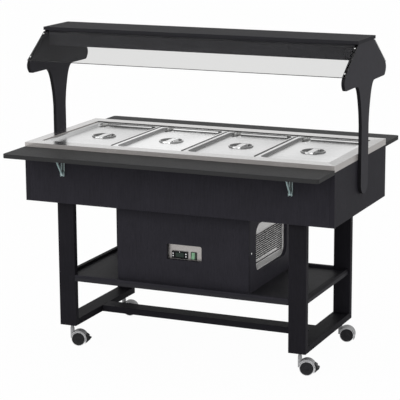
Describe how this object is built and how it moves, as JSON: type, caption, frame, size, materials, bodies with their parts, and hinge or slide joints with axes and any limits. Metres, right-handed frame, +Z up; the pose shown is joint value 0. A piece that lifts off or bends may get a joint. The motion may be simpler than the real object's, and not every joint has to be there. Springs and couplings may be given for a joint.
{
  "type": "refrigerated trolley",
  "caption": "Refrigerated buffet trolley: cooled well with lidded food pans, fold-down tray slides, canopy with clear screens, compressor housing on a lower shelf, braked casters.",
  "frame": {"origin": "on the floor under the centre of the trolley", "axes": "+X along the length to the right, +Y to the back, +Z up; the side with the controls faces -Y"},
  "size_m": [1.444, 1.0498, 1.382],
  "materials": {
    "body_board": "satin",
    "frame_board": "satin",
    "canopy_board": "satin",
    "tray_slide_board": "satin",
    "stainless": "satin",
    "pan_steel": "satin",
    "plate_steel": "satin",
    "zinc_steel": "satin",
    "condensing_unit": "satin",
    "thermostat_case": "gloss",
    "key_plastic": "matte",
    "switch_green": "gloss",
    "clear_screen": "gloss",
    "caster_grey": "matte",
    "caster_wheel": "matte",
    "pedal_plastic": "matte"
  },
  "bodies": {
    "trolley": {"front_apron": "body_board", "rear_apron": "body_board", "left_end_panel": "body_board", "right_end_panel": "body_board", "body_floor": "body_board", "worktop_well": "stainless", "leg_front_left": "frame_board", "leg_front_right": "frame_board", "leg_rear_left": "frame_board", "leg_rear_right": "frame_board", "foot_rail_left": "frame_board", "foot_rail_right": "frame_board", "stretcher": "frame_board", "lower_shelf": "frame_board", "housing_front": "body_board", "housing_rear": "body_board", "housing_left": "body_board", "housing_right": "body_board", "vent_grille": "plate_steel", "condensing_unit": "condensing_unit", "control_plate": "plate_steel", "thermostat": "thermostat_case", "canopy_support_left": "canopy_board", "canopy_support_right": "canopy_board", "canopy_top": "canopy_board", "canopy_fascia_front": "canopy_board", "canopy_fascia_rear": "canopy_board", "screen_front": "clear_screen", "screen_rear": "clear_screen", "front_bracket_leaf_left": "zinc_steel", "front_bracket_leaf_right": "zinc_steel", "rear_bracket_leaf_left": "zinc_steel", "rear_bracket_leaf_right": "zinc_steel"},
    "pan_1": {"gn_pan_1": "pan_steel"},
    "lid_1": {"pan_lid_1": "pan_steel"},
    "pan_2": {"gn_pan_2": "pan_steel"},
    "lid_2": {"pan_lid_2": "pan_steel"},
    "pan_3": {"gn_pan_3": "pan_steel"},
    "lid_3": {"pan_lid_3": "pan_steel"},
    "pan_4": {"gn_pan_4": "pan_steel"},
    "lid_4": {"pan_lid_4": "pan_steel"},
    "front_tray_slide": {"front_flap": "tray_slide_board"},
    "front_strut_left": {"front_bracket_strut_left": "zinc_steel"},
    "front_strut_right": {"front_bracket_strut_right": "zinc_steel"},
    "rear_tray_slide": {"rear_flap": "tray_slide_board"},
    "rear_strut_left": {"rear_bracket_strut_left": "zinc_steel"},
    "rear_strut_right": {"rear_bracket_strut_right": "zinc_steel"},
    "caster_front_left": {"caster_housing_front_left": "caster_grey"},
    "wheels_front_left": {"caster_wheels_front_left": "caster_wheel"},
    "brake_left": {"brake_pedal_left": "pedal_plastic"},
    "caster_front_right": {"caster_housing_front_right": "caster_grey"},
    "wheels_front_right": {"caster_wheels_front_right": "caster_wheel"},
    "brake_right": {"brake_pedal_right": "pedal_plastic"},
    "caster_rear_left": {"caster_housing_rear_left": "caster_grey"},
    "wheels_rear_left": {"caster_wheels_rear_left": "caster_wheel"},
    "caster_rear_right": {"caster_housing_rear_right": "caster_grey"},
    "wheels_rear_right": {"caster_wheels_rear_right": "caster_wheel"},
    "rocker": {"rocker_switch": "switch_green"},
    "key_left": {"thermostat_key_left": "key_plastic"},
    "key_right": {"thermostat_key_right": "key_plastic"}
  },
  "joints": [
    {"name": "pan_1_lift", "type": "slide", "parent": "trolley", "child": "pan_1", "axis": [0, 0, 1], "range_m": [0, 0.18]},
    {"name": "lid_1_lift", "type": "slide", "parent": "pan_1", "child": "lid_1", "axis": [0, 0, 1], "range_m": [0, 0.12]},
    {"name": "pan_2_lift", "type": "slide", "parent": "trolley", "child": "pan_2", "axis": [0, 0, 1], "range_m": [0, 0.18]},
    {"name": "lid_2_lift", "type": "slide", "parent": "pan_2", "child": "lid_2", "axis": [0, 0, 1], "range_m": [0, 0.12]},
    {"name": "pan_3_lift", "type": "slide", "parent": "trolley", "child": "pan_3", "axis": [0, 0, 1], "range_m": [0, 0.18]},
    {"name": "lid_3_lift", "type": "slide", "parent": "pan_3", "child": "lid_3", "axis": [0, 0, 1], "range_m": [0, 0.12]},
    {"name": "pan_4_lift", "type": "slide", "parent": "trolley", "child": "pan_4", "axis": [0, 0, 1], "range_m": [0, 0.18]},
    {"name": "lid_4_lift", "type": "slide", "parent": "pan_4", "child": "lid_4", "axis": [0, 0, 1], "range_m": [0, 0.12]},
    {"name": "front_flap_fold", "type": "hinge", "parent": "trolley", "child": "front_tray_slide", "pos_m": [0, -0.346, 0.87], "axis": [1, 0, 0], "range_deg": [0, 90]},
    {"name": "front_strut_left_swing", "type": "hinge", "parent": "trolley", "child": "front_strut_left", "pos_m": [-0.52, -0.342, 0.781], "axis": [1, 0, 0], "range_deg": [0, 145]},
    {"name": "front_strut_right_swing", "type": "hinge", "parent": "trolley", "child": "front_strut_right", "pos_m": [0.52, -0.342, 0.781], "axis": [1, 0, 0], "range_deg": [0, 145]},
    {"name": "rear_flap_fold", "type": "hinge", "parent": "trolley", "child": "rear_tray_slide", "pos_m": [0, 0.346, 0.87], "axis": [-1, 0, 0], "range_deg": [0, 90]},
    {"name": "rear_strut_left_swing", "type": "hinge", "parent": "trolley", "child": "rear_strut_left", "pos_m": [-0.52, 0.342, 0.781], "axis": [-1, 0, 0], "range_deg": [0, 145]},
    {"name": "rear_strut_right_swing", "type": "hinge", "parent": "trolley", "child": "rear_strut_right", "pos_m": [0.52, 0.342, 0.781], "axis": [-1, 0, 0], "range_deg": [0, 145]},
    {"name": "caster_front_left_swivel", "type": "hinge", "parent": "trolley", "child": "caster_front_left", "pos_m": [-0.5345, -0.255, 0.098], "axis": [0, 0, 1], "continuous": true},
    {"name": "wheels_front_left_roll", "type": "hinge", "parent": "caster_front_left", "child": "wheels_front_left", "pos_m": [-0.50552, -0.24724, 0.031], "axis": [-0.2588, 0.9659, 0], "continuous": true},
    {"name": "brake_left_press", "type": "hinge", "parent": "caster_front_left", "child": "brake_left", "pos_m": [-0.50552, -0.24724, 0.031], "axis": [-0.2588, 0.9659, 0], "range_deg": [0, 12]},
    {"name": "caster_front_right_swivel", "type": "hinge", "parent": "trolley", "child": "caster_front_right", "pos_m": [0.5345, -0.255, 0.098], "axis": [0, 0, 1], "continuous": true},
    {"name": "wheels_front_right_roll", "type": "hinge", "parent": "caster_front_right", "child": "wheels_front_right", "pos_m": [0.56348, -0.24724, 0.031], "axis": [-0.2588, 0.9659, 0], "continuous": true},
    {"name": "brake_right_press", "type": "hinge", "parent": "caster_front_right", "child": "brake_right", "pos_m": [0.56348, -0.24724, 0.031], "axis": [-0.2588, 0.9659, 0], "range_deg": [0, 12]},
    {"name": "caster_rear_left_swivel", "type": "hinge", "parent": "trolley", "child": "caster_rear_left", "pos_m": [-0.5345, 0.255, 0.098], "axis": [0, 0, 1], "continuous": true},
    {"name": "wheels_rear_left_roll", "type": "hinge", "parent": "caster_rear_left", "child": "wheels_rear_left", "pos_m": [-0.50552, 0.26277, 0.031], "axis": [-0.2588, 0.9659, 0], "continuous": true},
    {"name": "caster_rear_right_swivel", "type": "hinge", "parent": "trolley", "child": "caster_rear_right", "pos_m": [0.5345, 0.255, 0.098], "axis": [0, 0, 1], "continuous": true},
    {"name": "wheels_rear_right_roll", "type": "hinge", "parent": "caster_rear_right", "child": "wheels_rear_right", "pos_m": [0.56348, 0.26277, 0.031], "axis": [-0.2588, 0.9659, 0], "continuous": true},
    {"name": "rocker_tilt", "type": "hinge", "parent": "trolley", "child": "rocker", "pos_m": [0.0475, -0.2387, 0.4545], "axis": [1, 0, 0], "range_deg": [0, 16]},
    {"name": "key_left_press", "type": "hinge", "parent": "trolley", "child": "key_left", "pos_m": [-0.047, -0.2431, 0.4545], "axis": [1, 0, 0], "range_deg": [-3, 3], "stiffness_Nm_per_rad": 0.05},
    {"name": "key_right_press", "type": "hinge", "parent": "trolley", "child": "key_right", "pos_m": [0.013, -0.2431, 0.4545], "axis": [1, 0, 0], "range_deg": [-3, 3], "stiffness_Nm_per_rad": 0.05}
  ],
  "couplings": [
    {"joint": "front_strut_left_swing", "follows": "front_flap_fold", "ratio": 1.61},
    {"joint": "front_strut_right_swing", "follows": "front_flap_fold", "ratio": 1.61},
    {"joint": "rear_strut_left_swing", "follows": "rear_flap_fold", "ratio": 1.61},
    {"joint": "rear_strut_right_swing", "follows": "rear_flap_fold", "ratio": 1.61}
  ]
}
